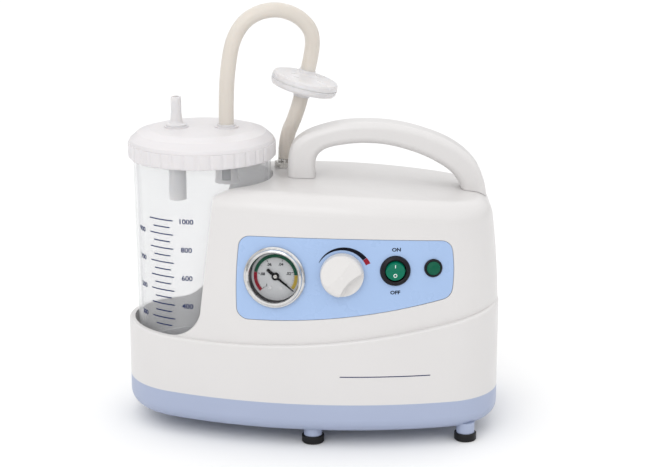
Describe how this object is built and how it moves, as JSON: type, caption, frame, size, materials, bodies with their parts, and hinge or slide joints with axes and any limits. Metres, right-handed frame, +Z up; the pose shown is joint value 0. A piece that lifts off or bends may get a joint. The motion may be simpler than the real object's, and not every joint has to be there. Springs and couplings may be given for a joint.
{
  "type": "portable medical suction pump",
  "caption": "Portable electric suction unit: moulded housing with carry handle, clear liquid jar, filter and hoses, vacuum gauge, regulator knob, rocker switch and lamp.",
  "frame": {"origin": "centre of the footprint on the surface the feet stand on", "axes": "+X along the unit away from the jar, -Y the front with the controls, +Z up"},
  "size_m": [0.296, 0.1829, 0.3352],
  "materials": {
    "housing_white": "satin moulded ABS",
    "tray_blue": "satin moulded ABS, lavender blue",
    "rubber_black": "moulded rubber",
    "screw_steel": "zinc plated",
    "panel_blue": "printed film",
    "bezel_chrome": "polished",
    "black_plastic": "moulded",
    "dial_white": "printed",
    "needle_black": "matt",
    "clear_window": "clear",
    "brass": "machined",
    "knob_white": "satin",
    "rocker_green": "translucent green",
    "lamp_green": "translucent green",
    "clear_jar": "clear polycarbonate",
    "lid_white": "moulded polypropylene",
    "translucent_white": "translucent moulded polypropylene",
    "seal_silicone": "silicone",
    "float_red": "moulded",
    "hose_silicone": "cream silicone",
    "membrane": "hydrophobic membrane",
    "nickel": "nickel plated brass",
    "cast_aluminium": "die cast",
    "steel_zinc": "zinc plated sheet",
    "lamination": "stacked laminations",
    "copper": "enamelled copper",
    "pump_plastic": "glass filled"
  },
  "bodies": {
    "unit": {"base_tray": "tray_blue", "rubber_feet": "rubber_black", "base_screws": "screw_steel", "upper_housing": "housing_white", "jar_seat_pad": "rubber_black", "carry_handle": "housing_white", "handle_screws": "screw_steel", "control_panel": "panel_blue", "gauge_bezel": "bezel_chrome", "gauge_case": "black_plastic", "gauge_dial": "dial_white", "gauge_dial_screws": "screw_steel", "gauge_lens": "clear_window", "gauge_movement": "brass", "regulator_valve": "brass", "switch_body": "black_plastic", "lamp_body": "black_plastic", "lamp_lens": "lamp_green", "inlet_barb": "nickel", "pump_plate": "steel_zinc", "rubber_isolators": "rubber_black", "plate_screws": "screw_steel", "crankcase": "cast_aluminium", "cylinder": "cast_aluminium", "cylinder_head": "cast_aluminium", "exhaust_muffler": "pump_plastic", "motor_stator": "lamination", "motor_windings": "copper", "motor_case": "steel_zinc", "motor_bearings": "screw_steel", "motor_cradle": "steel_zinc", "vacuum_pipes": "nickel", "mains_socket": "black_plastic", "mains_pins": "brass", "mains_screws": "screw_steel"},
    "jar": {"jar": "clear_jar"},
    "lid": {"lid": "lid_white", "lid_seal": "seal_silicone", "patient_port": "translucent_white", "hose_port": "translucent_white", "drip_tube": "translucent_white", "float_cage": "translucent_white"},
    "float": {"float_valve": "float_red"},
    "hose_set": {"upper_hose": "hose_silicone", "filter_shell_upper": "translucent_white", "filter_shell_lower": "translucent_white", "filter_membrane": "membrane", "lower_hose": "hose_silicone"},
    "knob": {"regulator_knob": "knob_white", "regulator_stem": "screw_steel"},
    "rocker": {"switch_rocker": "rocker_green"},
    "needle": {"gauge_needle": "needle_black"},
    "rotor": {"motor_shaft": "screw_steel", "motor_rotor": "lamination", "cooling_fan": "pump_plastic", "crank": "screw_steel"},
    "piston": {"piston_and_rod": "cast_aluminium"},
    "fuse_drawer": {"fuse_drawer": "black_plastic"}
  },
  "joints": [
    {"name": "jar_lift", "type": "slide", "parent": "unit", "child": "jar", "axis": [0, 0, 1], "range_m": [0, 0.16]},
    {"name": "lid_lift", "type": "slide", "parent": "jar", "child": "lid", "axis": [0, 0, 1], "range_m": [0, 0.06]},
    {"name": "hose_pull", "type": "slide", "parent": "lid", "child": "hose_set", "axis": [0, 0, 1], "range_m": [0, 0.03]},
    {"name": "float_rise", "type": "slide", "parent": "lid", "child": "float", "axis": [0, 0, 1], "range_m": [0, 0.012]},
    {"name": "needle_sweep", "type": "hinge", "parent": "unit", "child": "needle", "pos_m": [-0.02773, -0.07299, 0.13557], "axis": [-0.1815, -0.9809, 0.0698], "range_deg": [0, 256]},
    {"name": "knob_turn", "type": "hinge", "parent": "unit", "child": "knob", "pos_m": [0.0236, -0.08216, 0.13955], "axis": [-0.0278, -0.9972, 0.0698], "range_deg": [-135, 135]},
    {"name": "switch_rock", "type": "hinge", "parent": "unit", "child": "rocker", "pos_m": [0.06417, -0.07467, 0.14153], "axis": [0.9956, 0.0941, 0], "range_deg": [-18, 0]},
    {"name": "motor_spin", "type": "hinge", "parent": "unit", "child": "rotor", "pos_m": [0.06, 0.018, 0.084], "axis": [1, 0, 0], "continuous": true},
    {"name": "piston_stroke", "type": "slide", "parent": "unit", "child": "piston", "axis": [0, 0, 1], "range_m": [-0.003, 0.003]},
    {"name": "fuse_drawer_pull", "type": "slide", "parent": "unit", "child": "fuse_drawer", "axis": [0.1729, 0.9849, 0], "range_m": [0, 0.014]}
  ]
}
